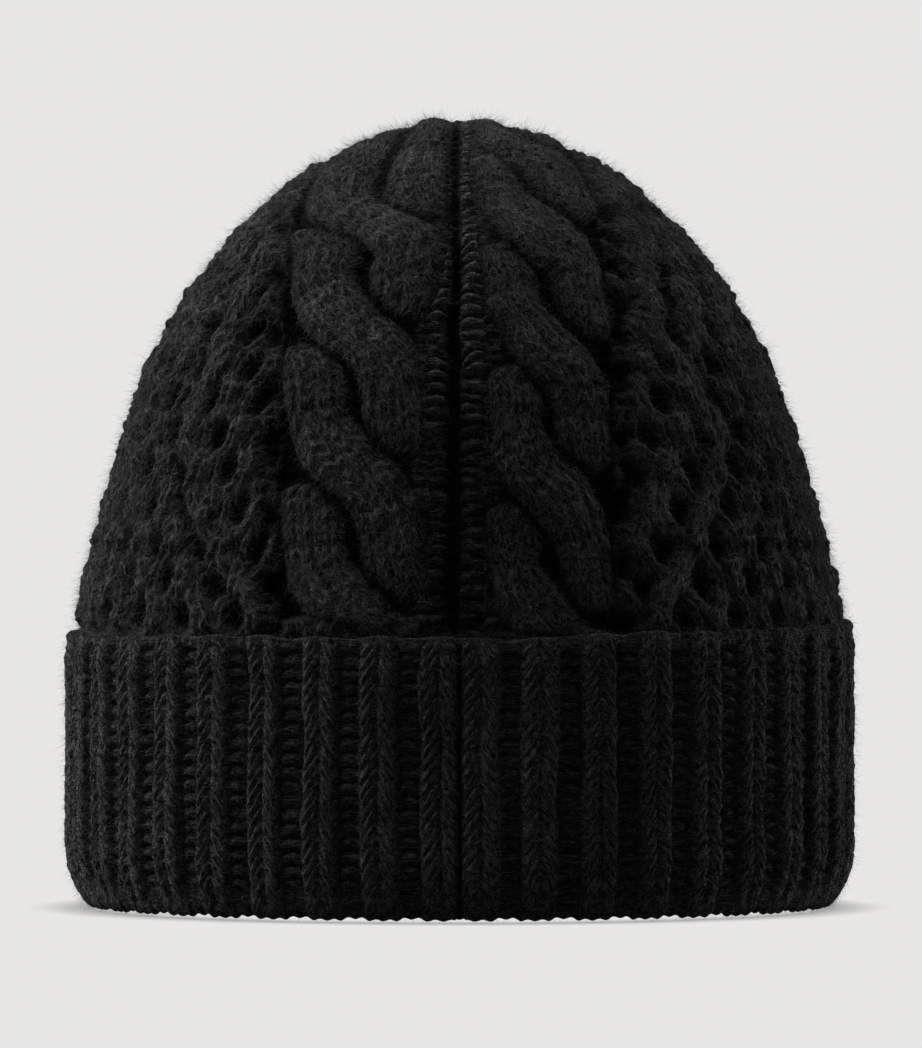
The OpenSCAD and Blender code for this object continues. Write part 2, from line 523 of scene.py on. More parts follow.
def face_pattern(is_back, angle, radius, z, arc, shift, wander, points):
    """Surface of the back or front face; angle is measured from the middle of that face."""
    x = radius * np.sin(angle) + shift
    side_x = (math.pi / 2 - np.abs(angle)) * radius * (1 if is_back else -1) + shift
    height, fib = honeycomb(side_x, arc)
    height, fib = add_ogee(height, fib, x, angle, radius, z, arc, points)
    surface = np.vstack([height, np.zeros(len(arc)), fib, np.ones(len(arc))])
    for cable, part in (
        (LEFT if is_back else FRONT_LEFT, angle <= 0),
        (RIGHT if is_back else FRONT_RIGHT, angle > 0),
    ):
        if part.any():
            fields = [field[part] for field in (x, radius, z, arc, wander, points)]
            surface[:, part] = add_cable(cable, surface[:, part], *fields)
    if is_back:
        # the seam groove, just left of the middle
        seam_x = x - shift * 0.6
        surface[0] = surface[0] - 1.7 * bell(seam_x + 0.9, 0.95) - 0.6 * bell(seam_x + 2.6, 1.6)
        # painted shade along the seam groove
        surface[4] = surface[4] * (1 - 0.93 * bell(seam_x + 0.9, 1.35))
    return surface


def crown_relief(angle, arc, points):
    """Height over the base of the relief, flat, fibres and shade, at angles from the back."""
    radius, z, _, _ = profile(arc)
    # small irregularities in how the yarn lies
    wander = noise(points, 13.0, 3.1)
    wander_fine = noise(points, 6.0, 9.7)
    shift = 1.0 * wander + 0.6 * wander_fine
    bent_arc = arc + 0.8 * noise(points, 11.0, 21.3) + 0.5 * noise(points, 5.0, 15.3)
    # the back and front patterns run into each other over the top
    front = smooth(points[:, 1], -3.5, 3.5)
    front_angle = np.where(angle > 0, angle - math.pi, angle + math.pi)
    surface = np.zeros((5, len(arc)))
    for is_back, face_angle, weight in ((True, angle, 1 - front), (False, front_angle, front)):
        part = weight > 0
        if not part.any():
            continue
        fields = (face_angle, radius, z, bent_arc, shift, wander_fine, points)
        found = face_pattern(is_back, *[field[part] for field in fields])
        share = weight[part]
        result = surface[:, part]
        result[[0, 4]] += share * found[[0, 4]]
        result[1:4] = np.where(share >= 0.5, found[1:4], result[1:4])
        surface[:, part] = result
    height, flat, fib, shade = surface[0], surface[1], surface[2:4], surface[4]
    # the stitches crowd together and flatten over the top
    crowd = 0.55 * (1 - smooth(radius, 18, 42)) * smooth(np.abs(points[:, 0]), 9, 22)
    height = mix(height, 3.7, crowd)
    soft = 0.38 * smooth(z, 148, 176)
    height = mix(height, 3.2, soft)
    shade = 1 - (1 - shade) * (1 - 0.9 * soft)
    # softer relief where the crown meets the band, and at the gathered top
    height = mix(4.2 + 0.5 * np.cos(angle * 40), height, smooth(z, 65.0, 70.0))
    top = smooth(radius, 7, 22)
    height = height * (0.45 + 0.55 * top) + (1 - top) * 2.6
    # the crown fills out upwards, where the wall is gathered
    height = height + 0.7 * (1 - smooth(radius, 45, 85))
    # yarn surface
    height = height + 0.35 * wander + 0.45 * noise(points, 3.4, 5.5)
    height = height + 0.48 * noise(points, 1.7, 2.5) + 0.22 * noise(points, 0.85, 7.5)
    # the hollows never reach the inner face of the wall
    return soft_max(height, -0.45, 0.3), flat, fib, shade


# ------------------------------------------------------------- crown shells
DEPTH = 4.55  # from the envelope down to the base of the relief
INNER_STEP = 4  # the inner face has one row and column for each four of the outer face


def crown_base(angle, arc):
    """Points and normals on the crown's envelope."""
    radius, z, out_r, out_z = profile(arc)
    return around(radius, angle, z), around(out_r, angle, out_z)


def crown_shell(name, edges, columns, rows, material, slot):
    """A closed shell between two edges (turn, x), fine outside and coarser inside.

    An edge runs up at the distance x to the side of the meridian at the angle turn.
    """
    row_arc = np.linspace(0, ARC_END, rows)
    radius = profile(row_arc)[0]
    limit = math.radians(87.0)
    first, last = (
        turn + np.clip(np.arcsin(np.clip(x / radius, -1, 1)), -limit, limit) for turn, x in edges
    )
    across = np.linspace(0, 1, columns)
    angle = first[:, None] + (last - first)[:, None] * across[None, :]
    arc = np.repeat(row_arc[:, None], columns, axis=1)

    base, normal = crown_base(angle.ravel(), arc.ravel())
    height, flat, fib, shade = crown_relief(angle.ravel(), arc.ravel(), base)
    outer = base + normal * (height - DEPTH)[:, None]
    # painted shade: darker the lower the relief, times the painted shade beside the cable strands
    # and in the seam groove
    painted_shade = np.clip((height - 0.1) / 4.1, 0, 1.15) * shade

    coarse = angle[::INNER_STEP, ::INNER_STEP]
    inner_angle, inner_arc = coarse.ravel(), arc[::INNER_STEP, ::INNER_STEP].ravel()
    base, normal = crown_base(inner_angle, inner_arc)
    spots = np.stack([inner_angle * 30, inner_arc, 0 * inner_arc], axis=1)
    depth = -mix(4.25, 5.5, smooth(base[:, 2], 65.0, 70.0)) + 0.2 * noise(spots, 5.0)
    inner = base + normal * depth[:, None]

    fine_grid = np.arange(rows * columns).reshape(rows, columns)
    inner_grid = rows * columns + np.arange(len(inner)).reshape(coarse.shape)

    def rim(side, turn_round):
        faces = joining_faces(fine_grid[side], inner_grid[side], INNER_STEP)
        return np.roll(faces[:, ::-1], -2, axis=1) if turn_round else faces

    every = slice(None)
    shell = make_mesh(
        name,
        np.concatenate([outer, inner]),
        [grid_quads(fine_grid), turned(grid_quads(inner_grid))],
        [rim(0, True), rim(-1, False), rim((every, 0), False), rim((every, -1), True)],
        material,
        np.concatenate([painted_shade, np.full(len(inner), 0.3)]),
        np.hstack([fib, [inner_angle * 80, inner_arc]]),
        np.concatenate([flat, np.zeros(len(inner))]),
    )
    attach(shell, "hat_body")
    return shell


def gathered_top(material):
    """The last stitches, drawn in round the closing yarn: a puckered button with a dimple."""
    rim_r, ring_count, spokes = 7.4, 21, 72
    rings = np.linspace(0, rim_r, ring_count + 1)[1:]
    turns = np.linspace(0, TAU, spokes, endpoint=False)
    radius, angle = np.meshgrid(rings, turns, indexing="ij")
    envelope = np.interp(radius, profile_r[::-1], profile_z[::-1])
    points = around(radius, angle, envelope)
    lump = 0.75 * np.cos(9 * angle + 1.2 * np.sin(3 * angle)) * smooth(radius, 0.6, 4.5)
    lump = lump * (0.6 + 0.4 * np.cos(radius * 1.9))
    z = envelope - 1.3 + lump - 1.6 * bell(radius, 1.7) - 1.6 * smooth(radius, 6.2, rim_r)
    z = z + 0.3 * noise(points, 2.0) + 0.15 * noise(points, 0.9)
    z = z - 0.9 * bell(points[..., 0], 0.9) * (np.cos(angle) > 0)
    points[..., 2] = z
    under = points.copy()
    under[..., 2] = 183.2 + 0.4 * np.cos(5 * angle)
    count = radius.size
    centres = [[0, 0, z[0].mean() - 0.15], [0, 0, 183.0]]
    verts = np.concatenate([points.reshape(-1, 3), under.reshape(-1, 3), centres])
    grid = np.arange(count).reshape(ring_count, spokes)
    quads = grid_quads(np.hstack([grid, grid[:, :1]]))
    inmost, outmost = grid[0], grid[-1]
    inmost_next, outmost_next = np.roll(inmost, -1), np.roll(outmost, -1)
    rim = np.stack([outmost, outmost + count, outmost_next + count, outmost_next], axis=-1)
    centre = np.full(spokes, 2 * count)
    upper_fan = np.stack([inmost, inmost_next, centre], axis=-1)
    lower_fan = np.stack([inmost + count, centre + 1, inmost_next + count], axis=-1)
    button = make_mesh(
        "gathered_top",
        verts,
        [turned(quads), quads + count, rim],
        [upper_fan, lower_fan],
        material,
    )
    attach(button, "hat_body")
    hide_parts("crown_gather")
    return button


# ---------------------------------------------------------------- materials
SHEEN_GAIN = 1.1  # brightness of the sheen beside the diffuse colour


def wool(name, tint, seed):
    """Near-black wool: fibres that follow the stitches, uneven dye, painted shade in the hollows, a
    sheen.
    """
    material = bpy.data.materials.new(name)
    material.use_nodes = True
    tree = material.node_tree
    tree.nodes.clear()

    def maths(operation, first, second):
        inputs = {0: first, 1: second}
        return add_node(tree, "ShaderNodeMath", inputs, operation=operation).outputs[0]

    def attribute(label, output="Fac"):
        return add_node(tree, "ShaderNodeAttribute", {}, attribute_name=label).outputs[output]

    def scaled(vector, scale, turn=(0, 0, 0), offset=(0, 0, 0)):
        inputs = {"Scale": scale, "Rotation": turn, "Location": offset, "Vector": vector}
        return add_node(tree, "ShaderNodeMapping", inputs).outputs[0]

    def texture(vector, detail=2.0, rough=0.5, distortion=0.0, output="Fac"):
        inputs = {
            "Scale": 1.0,
            "Detail": detail,
            "Roughness": rough,
            "Distortion": distortion,
            "Vector": vector,
        }
        return add_node(tree, "ShaderNodeTexNoise", inputs).outputs[output]

    def stretched(value, low, high):
        inputs = {"Value": value, "From Min": low, "From Max": high}
        kind = "ShaderNodeMapRange"
        return add_node(tree, kind, inputs, interpolation_type="SMOOTHSTEP").outputs[0]

    def grey(value):
        """A grey with a touch of blue."""
        inputs = {0: value, 1: value, 2: maths("MULTIPLY", value, 1.03)}
        return add_node(tree, "ShaderNodeCombineColor", inputs).outputs[0]

    # each wool has its own part of the noise
    place = add_node(tree, "ShaderNodeTexCoord", {}).outputs["Object"]
    place = scaled(place, (1, 1, 1), offset=(seed * 0.31, seed * 0.17, seed * 0.23))
    fib = attribute("fib", "Vector")
    fib = scaled(fib, (1, 1, 1), offset=(seed * 3.1, seed * 1.7, seed * 2.3))
    # bend the fibre coordinates a little, so that no two stitches are alike
    bend = texture(scaled(place, (330, 330, 330)), output="Color")
    inputs = {0: bend, 1: (2.4, 2.4, 2.4), 2: fib}
    bent = add_node(tree, "ShaderNodeVectorMath", inputs, operation="MULTIPLY_ADD").outputs[0]
    strands = texture(scaled(bent, (2.3, 0.42, 1.0)), detail=2.5, rough=0.6, distortion=0.3)
    bars = texture(scaled(place, (480, 480, 2300)), detail=2.5, rough=0.6, distortion=0.5)
    inputs = {0: attribute("flat"), 2: strands, 3: bars}
    either = add_node(tree, "ShaderNodeMix", inputs, data_type="FLOAT").outputs[0]
    fibre = stretched(either, low=0.36, high=0.66)
    # loose fibres lying across the yarn, in two directions
    first_way = scaled(place, (3600, 800, 700), turn=(0.5, 0.2, 0.4))
    second_way = scaled(place, (800, 700, 3400), turn=(1.4, 0.9, 1.5))
    stray = maths(
        "MAXIMUM",
        texture(first_way, detail=1.5, distortion=0.8),
        texture(second_way, detail=1.5, distortion=0.8),
    )
    stray = stretched(stray, low=0.60, high=0.80)
    speck = stretched(texture(scaled(place, (2600, 2600, 2600)), rough=0.6), low=0.35, high=0.68)
    dye = texture(scaled(place, (45, 45, 45)))

    # brightness: fibres and strays, broken up by specks and by the uneven dye
    light = maths("ADD", maths("MULTIPLY", fibre, 1.05), maths("MULTIPLY", stray, 0.9))
    specked = maths("ADD", light, 0.22)
    light = maths("MULTIPLY", specked, maths("ADD", maths("MULTIPLY", speck, 0.9), 0.45))
    light = maths("MULTIPLY", light, maths("ADD", maths("MULTIPLY", dye, 0.8), 0.6))
    # painted shade: the hollows are dark, but not fully black
    painted_shade = maths("MULTIPLY", maths("POWER", attribute("painted_shade"), 1.5), 0.93)
    painted_shade = maths("ADD", painted_shade, 0.07)
    level = maths("MULTIPLY", maths("MULTIPLY", light, painted_shade), tint)
    colour = grey(level)
    sheen_colour = grey(maths("MULTIPLY", level, SHEEN_GAIN))

    height = maths("ADD", maths("MULTIPLY", fibre, 0.9), maths("MULTIPLY", speck, 0.35))
    height = maths("ADD", height, maths("MULTIPLY", stray, 0.6))
    inputs = {"Strength": 0.9, "Distance": 0.00035, "Height": height}
    bump = add_node(tree, "ShaderNodeBump", inputs).outputs[0]
    inputs = {"Color": colour, "Roughness": 1.0, "Normal": bump}
    diffuse = add_node(tree, "ShaderNodeBsdfDiffuse", inputs)
    inputs = {"Color": sheen_colour, "Roughness": 0.5, "Normal": bump}
    sheen = add_node(tree, "ShaderNodeBsdfSheen", inputs)
    both = add_node(tree, "ShaderNodeAddShader", {0: diffuse.outputs[0], 1: sheen.outputs[0]})
    add_node(tree, "ShaderNodeOutputMaterial", {0: both.outputs[0]})
    return material


def fibre_material():
    """Plain dark grey for the loose fibres."""
    material = bpy.data.materials.new("wool_fibre")
    material.use_nodes = True
    tree = material.node_tree
    tree.nodes.remove(tree.nodes["Principled BSDF"])
    diffuse = add_node(tree, "ShaderNodeBsdfDiffuse", {"Color": (0.035, 0.035, 0.036, 1)})
    tree.links.new(diffuse.outputs[0], tree.nodes["Material Output"].inputs[0])
    return material


# one near-black yarn throughout: the tints differ to match how bright each part looks, and the
# honeycomb's includes painted shade for the self-shadow of its deep relief
CABLE_WOOL = wool("wool_cable", tint=0.0205, seed=1.0)
HONEY_WOOL = wool("wool_honeycomb", tint=0.0240, seed=2.0)
RIB_WOOL = wool("wool_rib", tint=0.0310, seed=3.0)
SEAM_WOOL = wool("wool_seam", tint=0.0240, seed=4.0)
FIBRE = fibre_material()

# ------------------------------------------------------------- crown pieces
SEAM_X, EDGE_X = 2.5, 46.0  # half widths of the seam strip and of the cable panels
CROWN_ROWS = 325
BACK, FRONT, SIDE = 0.0, math.pi, math.pi / 2

CABLE_LOOK = (CABLE_WOOL, "cable_knit")
HONEY_LOOK = (HONEY_WOOL, "honeycomb_knit")
LEFT_HONEY, RIGHT_HONEY = "honeycomb_panel_left", "honeycomb_panel_right"
# name, first edge, last edge (turn, x), columns, material and slot, piece it replaces
PANELS = [
    ("back_seam_strip", (BACK, -SEAM_X), (BACK, SEAM_X), 17,
     (SEAM_WOOL, "seam_yarn"), "back_seam"),
    ("back_cable_left", (BACK, -EDGE_X), (BACK, -SEAM_X), 109,
     CABLE_LOOK, "back_cable_panel_left"),
    ("back_cable_right", (BACK, SEAM_X), (BACK, EDGE_X), 109,
     CABLE_LOOK, "back_cable_panel_right"),
    ("honeycomb_right_back", (BACK, EDGE_X), (SIDE, 0), 193, HONEY_LOOK, RIGHT_HONEY),
    ("honeycomb_right_front", (SIDE, 0), (FRONT, -EDGE_X), 193, HONEY_LOOK, RIGHT_HONEY),
    ("honeycomb_left_back", (-SIDE, 0), (BACK, -EDGE_X), 193, HONEY_LOOK, LEFT_HONEY),
    ("honeycomb_left_front", (-FRONT, EDGE_X), (-SIDE, 0), 193, HONEY_LOOK, LEFT_HONEY),
    ("front_cable_right", (FRONT, -EDGE_X), (FRONT, 0), 117,
     CABLE_LOOK, "front_cable_panel_right"),
    ("front_cable_left", (-FRONT, 0), (-FRONT, EDGE_X), 117,
     CABLE_LOOK, "front_cable_panel_left"),
]

crown_pieces = []
for name, first_edge, last_edge, columns, look, replaced in PANELS:
    panel = crown_shell(name, (first_edge, last_edge), columns, CROWN_ROWS, *look)
    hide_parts(replaced)
    crown_pieces.append(panel)
crown_pieces.append(gathered_top(SEAM_WOOL))

# --------------------------------------------------------------- cuff strips
CUFF_H = 67.6
CUFF_R = 95.0
RIBS_A_SIDE = 20
FIRST_RIB = 12.0 / CUFF_R  # angle of the rib next to the seam
RIB_STEP = (math.pi - FIRST_RIB) / (RIBS_A_SIDE - 1)
RIB_ROW = 3.35
BAND_INNER_R, BAND_OUTER_R = 86.05, 89.95
BAND_LOW = 5.0  # the band's inner face ends here and the fold begins
FOLD_R, FOLD_TOP = 88.6, 7.0  # radius of the lowest line, and where the fold meets the cuff
CLEFT_IN, CLEFT_OUT = 4.6, 4.4  # bottoms of the band's and the cuff's facing sides
EDGE_ROUND = 1.6  # half height of the rolled cast-on edge

# The loop of a strip's cross-section, in rows: down the band's inner face, round the fold,
# up the cuff's outer face, over its edge, down its back, through the cleft, up the band.
RIB_COLUMNS = 31
FACE_STEP = 2  # rows of the outer face to each row of the back
BAND_ROWS, TURN_ROWS, BACK_ROWS, EDGE_ROWS = 56, 6, 62, 8
FOLD_Z = [0.10, 0.4, 0.8, 1.4, 2.1, 2.9, 3.8, 4.8, 5.9, FOLD_TOP]  # rows of its outer half


def row_run(start, count):
    return np.arange(start, start + count + 1)


BAND_IN = row_run(0, BAND_ROWS)
FOLD = row_run(BAND_IN[-1], TURN_ROWS + len(FOLD_Z))
OUTER = row_run(FOLD[-1], BACK_ROWS * FACE_STEP)
EDGE = row_run(OUTER[-1], EDGE_ROWS)
CUFF_BACK = row_run(EDGE[-1], BACK_ROWS)
CLEFT = row_run(CUFF_BACK[-1], 4)
BAND_OUT = row_run(CLEFT[-1], BAND_ROWS)
RELIEF_ROWS = np.arange(FOLD[TURN_ROWS + 1], OUTER[-1] + 1)


def rib_line(line, side):
    """Angle of a line between ribs, counted from the seam on one side (+1 or -1)."""
    if line == 0:
        return 0.0
    # the ribs are not all of one width
    uneven = 0.0 if line == RIBS_A_SIDE else 0.0034 * math.sin(line * 2.4 + side)
    return FIRST_RIB + (line - 1) * RIB_STEP + uneven


def rib_relief(across, from_edge, width, z, from_top, at_seam, points):
    """Height of the outer face, mostly negative (inward).

    across is measured from the middle of the rib, from_edge from its seam-side edge.
    """
    across = across + 0.6 * noise(points, 15.0, 12.3) + 0.38 * noise(points, 5.5, 17.7)
    z = z + 0.5 * noise(points, 9.0, 19.1)
    distance = np.abs(across)
    edge = smooth(from_top, 0.4, 5.0)  # the cast-on edge closes over the gutters
    dome = (1 - unit(np.abs((distance - 2.3) / 2.45)) ** 2.6) ** 0.55
    floor_h = np.where(distance < 2.3, -2.0, -2.9)
    height = floor_h * (1 - dome) * (0.35 + 0.65 * edge)
    # legs of the stitches, slanting to either side of the middle of the rib
    leg = 0.5 + 0.5 * wave(z + 1.7 * distance, RIB_ROW)
    height = height + 0.9 * (leg - 0.55) * dome * (0.5 + 0.5 * edge)
    # purl bars across the gutter, but not at the seam
    gutter = np.minimum(from_edge, width - from_edge)
    seam_half = at_seam & (from_edge < width * 0.5)
    row_part = frac(z / RIB_ROW + 0.28 * (gutter / 3.0) ** 2) - 0.5
    bar = np.sqrt(unit(1 - (gutter / 3.1) ** 2)) * unit(1 - (row_part / 0.40) ** 2) ** 0.7
    vary = 0.85 + 0.4 * noise(points, 6.0, 23.0)
    bar_h = np.where(seam_half, 0, 1.7)
    height = height + bar_h * vary * bar * (1 - dome) * (0.4 + 0.6 * edge)
    height = np.where(seam_half, height - 0.25 * bell(from_edge, 0.85), height)
    # cast-on edge: a low rope of slanting stitches
    rope = 0.35 + 0.30 * wave(from_edge / 3.75 + from_top / 4.0, 1)
    height = height + rope * bell(from_top - 1.5, 1.3)
    # yarn surface
    for amount, cell, shift in (
        (0.35, 12.0, 1.3), (0.28, 3.2, 4.4), (0.22, 1.6, 8.1), (0.12, 0.8, 6.6),
    ):
        height = height + amount * noise(points, cell, shift)
    return np.maximum(height, -3.35)


def face_radius(z):
    """Radius of the cuff's outer face, rounded in towards the fold."""
    part = unit((15 - z) / 15)
    return FOLD_R + (CUFF_R - FOLD_R) * np.maximum(0, 1 - part**1.65) ** (1 / 1.65)


def steps(count):
    """Parts of a run, ending with 1."""
    return np.linspace(0, 1, count + 1)[1:]


def strip_section(across, from_edge, width, top_z, ridge):
    """Radius and z (rows, columns) of a strip without its relief; ridge is 1 on the rib."""
    rows = []

    def put(radius, z):
        rows.append([np.broadcast_to(value, ridge.shape).astype(float) for value in (radius, z)])

    # band, inner face, top to bottom
    inner_r = BAND_INNER_R + 1.3 * (1 - ridge)
    for z in np.linspace(BAND_TOP, BAND_LOW, BAND_ROWS + 1):
        ripple = 0.35 * np.sin(z * TAU / RIB_ROW) * (1 - ridge)
        ripple = ripple + 0.25 * wave(z + np.abs(across), RIB_ROW) * ridge
        put(inner_r + ripple * 0.6, z)
    # round the fold, whose edge is slightly scalloped
    lift = 0.45 * (1 - ridge) - 0.22 * wave(from_edge, width / round(width / 4.0))
    for part in steps(TURN_ROWS):
        turn = part * math.pi / 2
        radius = FOLD_R - (FOLD_R - inner_r) * math.cos(turn)
        put(radius, BAND_LOW - (BAND_LOW - lift) * math.sin(turn))
    for z in FOLD_Z:
        put(face_radius(z), z + lift * (1 - z / FOLD_TOP))
    # outer face, bottom to top
    edge_z = top_z - EDGE_ROUND
    for part in steps(BACK_ROWS * FACE_STEP):
        z = FOLD_TOP + (edge_z - FOLD_TOP) * part
        put(face_radius(z) - 0.9 * (1 - smooth(edge_z + EDGE_ROUND - z, 1.2, 6.0)), z)
    # over the cast-on edge
    for part in steps(EDGE_ROWS):
        turn = part * math.pi
        put(92.7 + 1.4 * math.cos(turn), edge_z + EDGE_ROUND * math.sin(turn))
    # back of the cuff, top to bottom
    for part in steps(BACK_ROWS):
        z = edge_z + (CLEFT_OUT - edge_z) * part
        bulge = (0.35 * wave(z, RIB_ROW) + 1.5) * ridge * smooth(z, CLEFT_OUT, 9.0)
        put(91.25 + bulge * 0.55, z)
    # bottom of the cleft
    for radius, z in ((91.0, 3.1), (90.45, 2.7), (BAND_OUTER_R, 3.1), (89.75, CLEFT_IN)):
        put(radius, z)
    # band, outer face, bottom to top
    for part in steps(BAND_ROWS):
        z = CLEFT_IN + (BAND_TOP - CLEFT_IN) * part
        hollow = (1.0 + 0.25 * wave(z, RIB_ROW)) * ridge * smooth(z, CLEFT_IN, 10.0)
        put(BAND_OUTER_R - hollow, z)
    return np.moveaxis(np.array(rows), 1, 0)


def end_walls(line):
    """Faces closing one end of a strip; line holds the vertex numbers of its loop."""
    return [
        joining_faces(line[BAND_IN], line[BAND_OUT[::-1]], 1),
        joining_faces(line[FOLD], line[CLEFT[::-1]], 4),
        joining_faces(line[OUTER], line[CUFF_BACK[::-1]], FACE_STEP),
        line[EDGE][None, :],
    ]


def cuff_strip(number):
    """One rib of the cuff with the band behind it, as one folded strip (1..40)."""
    side = 1 if number <= RIBS_A_SIDE else -1
    line = number if side > 0 else 2 * RIBS_A_SIDE + 1 - number
    near, far = rib_line(line - 1, side), rib_line(line, side)
    width = (far - near) * CUFF_R
    at_seam = line == 1
    # columns in order of rising angle, so that every strip winds the same way
    parts = np.linspace(0, 1, RIB_COLUMNS)
    from_edge = parts * width if side > 0 else (1 - parts) * width
    lap = 0.0010  # neighbouring ribs lap over each other by a hair's breadth
    angle = side * (near - lap + (far - near + 2 * lap) * (from_edge / width))
    across = from_edge - (4.95 if at_seam else width / 2)
    # the cuff's edge tilts sideways and wavers
    top_z = CUFF_H + 1.2 * np.sin(angle) + 0.28 * wave(across, 15.0)
    spots = np.stack([np.cos(angle) * CUFF_R, np.sin(angle) * CUFF_R, 0 * angle], axis=1)
    top_z = top_z + 0.75 * noise(spots, 17.0, 2.2) + 0.3 * noise(spots, 6.0, 5.2)
    ridge = 1 - smooth(np.abs(across), 3.4, 5.4)  # 1 on the rib, 0 in the gutter
    ridge = np.where(at_seam & (from_edge < 1.2), 0.0, ridge)

    radius, height = strip_section(across, from_edge, width, top_z, ridge)
    shape = radius.shape
    angle, across, from_edge = (
        np.repeat(values[None, :], shape[0], axis=0) for values in (angle, across, from_edge)
    )
    length = np.cumsum(
        np.hypot(
            np.diff(radius, axis=0, prepend=radius[:1]),
            np.diff(height, axis=0, prepend=height[:1]),
        ),
        axis=0,
    )
    fib = lie(np.abs(across), -length)
    flat = smooth(np.abs(across), 4.3, 5.0) * (from_edge > (1.4 if at_seam else -1))

    # relief on the outer face and the outer half of the fold
    face_r, face_z, face_edge = radius[RELIEF_ROWS], height[RELIEF_ROWS], from_edge[RELIEF_ROWS]
    points = around(face_r, angle[RELIEF_ROWS], face_z)
    relief = rib_relief(
        across[RELIEF_ROWS], face_edge, width, face_z, top_z - face_z, at_seam, points
    )
    # painted shade: darker in the gutters and hollows of the rib relief
    painted_shade = np.full(shape, 0.62)
    painted_shade[RELIEF_ROWS] = np.clip(0.42 + 0.58 * (relief + 3.1) / 3.4, 0.1, 1.15)
    # painted shade in the crease at the seam
    if at_seam:
        painted_shade[RELIEF_ROWS] *= 0.35 + 0.65 * smooth(face_edge, 0.2, 1.5)
    # the other faces are ribbed too, with the ridges and gutters changed over, and painted shade in
    # their gutters
    painted_shade[BAND_IN] = 0.32 + 0.42 * ridge
    for rows in (CUFF_BACK[1:], CLEFT, BAND_OUT):
        painted_shade[rows] = 0.33 + 0.42 * (1 - ridge)
    # keep the lowest points of the fold outside the bending zone
    grow = smooth(face_z, -1.0, 4.0)
    low_r = 91.1 + 0.55 * smooth(face_z, 1.6, 5.0)
    room = unit((face_r - low_r) / np.maximum(0.3, -relief))
    radius[RELIEF_ROWS] = face_r + relief * np.where(
        relief < 0, np.minimum(grow + 0.15, room), grow
    )
    # the edge rolls over: carry the relief of the last row over the top
    for j in range(1, EDGE_ROWS + 1):
        radius[EDGE[j]] += relief[-1] * (1 - j / EDGE_ROWS)

    grid = np.arange(radius.size).reshape(shape)
    walls = end_walls(grid[:, 0]) + [faces[:, ::-1] for faces in end_walls(grid[:, -1])]
    strip = make_mesh(
        f"cuff_rib_{number:02d}_knit",
        around(radius, angle, height).reshape(-1, 3),
        [grid_quads(np.vstack([grid, grid[:1]]))],
        walls,
        RIB_WOOL,
        painted_shade.ravel(),
        fib.reshape(2, -1),
        flat.ravel(),
    )
    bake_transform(strip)
    if number == 1:
        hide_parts("cuff_rib_01", "inner_rib_band")
    else:
        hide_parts(f"cuff_rib_{number:02d}")
    return strip


strips = [cuff_strip(number) for number in range(1, 2 * RIBS_A_SIDE + 1)]


# -------------------------------------------------------------------- fuzz
def fuzz(piece, count, length, seed):
    """Short loose fibres standing off the yarn, and none in the hollows."""
    painted_shade = np.empty(len(piece.data.vertices), np.float32)
    piece.data.attributes["painted_shade"].data.foreach_get("value", painted_shade)
    group = piece.vertex_groups.new(name="fibre_roots")
    level = np.clip(np.round((painted_shade - 0.3) / 0.35 * 5), 0, 5).astype(int)
    for k in range(1, 6):
        chosen = np.where(level == k)[0]
        if len(chosen):
            group.add(chosen.tolist(), k / 5, "REPLACE")
    modifier = piece.modifiers.new("fibres", "PARTICLE_SYSTEM")
    system = modifier.particle_system
    system.seed = seed
    settings = dict(
        type="HAIR",
        use_advanced_hair=True,
        count=count,
        hair_step=3,
        display_step=2,
        render_step=3,
        emit_from="FACE",
        use_emit_random=True,
        use_even_distribution=True,
        # how far the fibres stand out, lean over and stray
        normal_factor=length * 0.13,
        tangent_factor=length * 0.12,
        factor_random=length * 0.20,
        brownian_factor=length * 0.16,
        length_random=0.7,
        child_type="NONE",
        # thickness, in mm through radius_scale
        root_radius=0.034,
        tip_radius=0.010,
        radius_scale=0.001,
        shape=0.0,
    )
    for key, value in settings.items():
        setattr(system.settings, key, value)
    system.vertex_group_density = group.name
    piece.data.materials.append(FIBRE)
    system.settings.material = len(piece.data.materials)


# ------------------------------------------------------------------- stage
BACKDROP = (0.803, 0.795, 0.787, 1)
FLOOR_HALF = 1.6
FLOOR_Z = -0.0006


def floor_material():
    """Glowing backdrop colour, with a painted contact shadow close to the hat, and weaker as a
    light source.
    """
    material = bpy.data.materials.new("floor_pale")
    material.use_nodes = True
    tree = material.node_tree
    tree.nodes.clear()
    contact = add_node(tree, "ShaderNodeAmbientOcclusion", {"Distance": 0.014}, samples=24)
    inputs = {
        "From Min": 0.25,
        "From Max": 0.98,
        "To Min": 0.45,
        "To Max": 1.0,
        "Value": contact.outputs["AO"],
    }
    shadow = add_node(tree, "ShaderNodeMapRange", inputs)
    ray = add_node(tree, "ShaderNodeLightPath", {}).outputs["Is Camera Ray"]
    inputs = {"To Min": 0.45, "To Max": 1.0, "Value": ray}
    seen = add_node(tree, "ShaderNodeMapRange", inputs)
    inputs = {0: shadow.outputs[0], 1: seen.outputs[0]}
    strength = add_node(tree, "ShaderNodeMath", inputs, operation="MULTIPLY")
    inputs = {"Color": BACKDROP, "Strength": strength.outputs[0]}
    glow = add_node(tree, "ShaderNodeEmission", inputs)
    add_node(tree, "ShaderNodeOutputMaterial", {0: glow.outputs[0]})
    return material


def make_floor():
    mesh = bpy.data.meshes.new("floor")
    corners = [(x * FLOOR_HALF, y * FLOOR_HALF, 0) for x, y in ((-1, -1), (1, -1), (1, 1), (-1, 1))]
    mesh.from_pydata(corners, [], [(0, 1, 2, 3)])
    plane = bpy.data.objects.new("floor", mesh)
    scene.collection.objects.link(plane)
    mesh.materials.append(floor_material())
    plane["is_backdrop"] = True
    plane.location.z = FLOOR_Z
    return plane


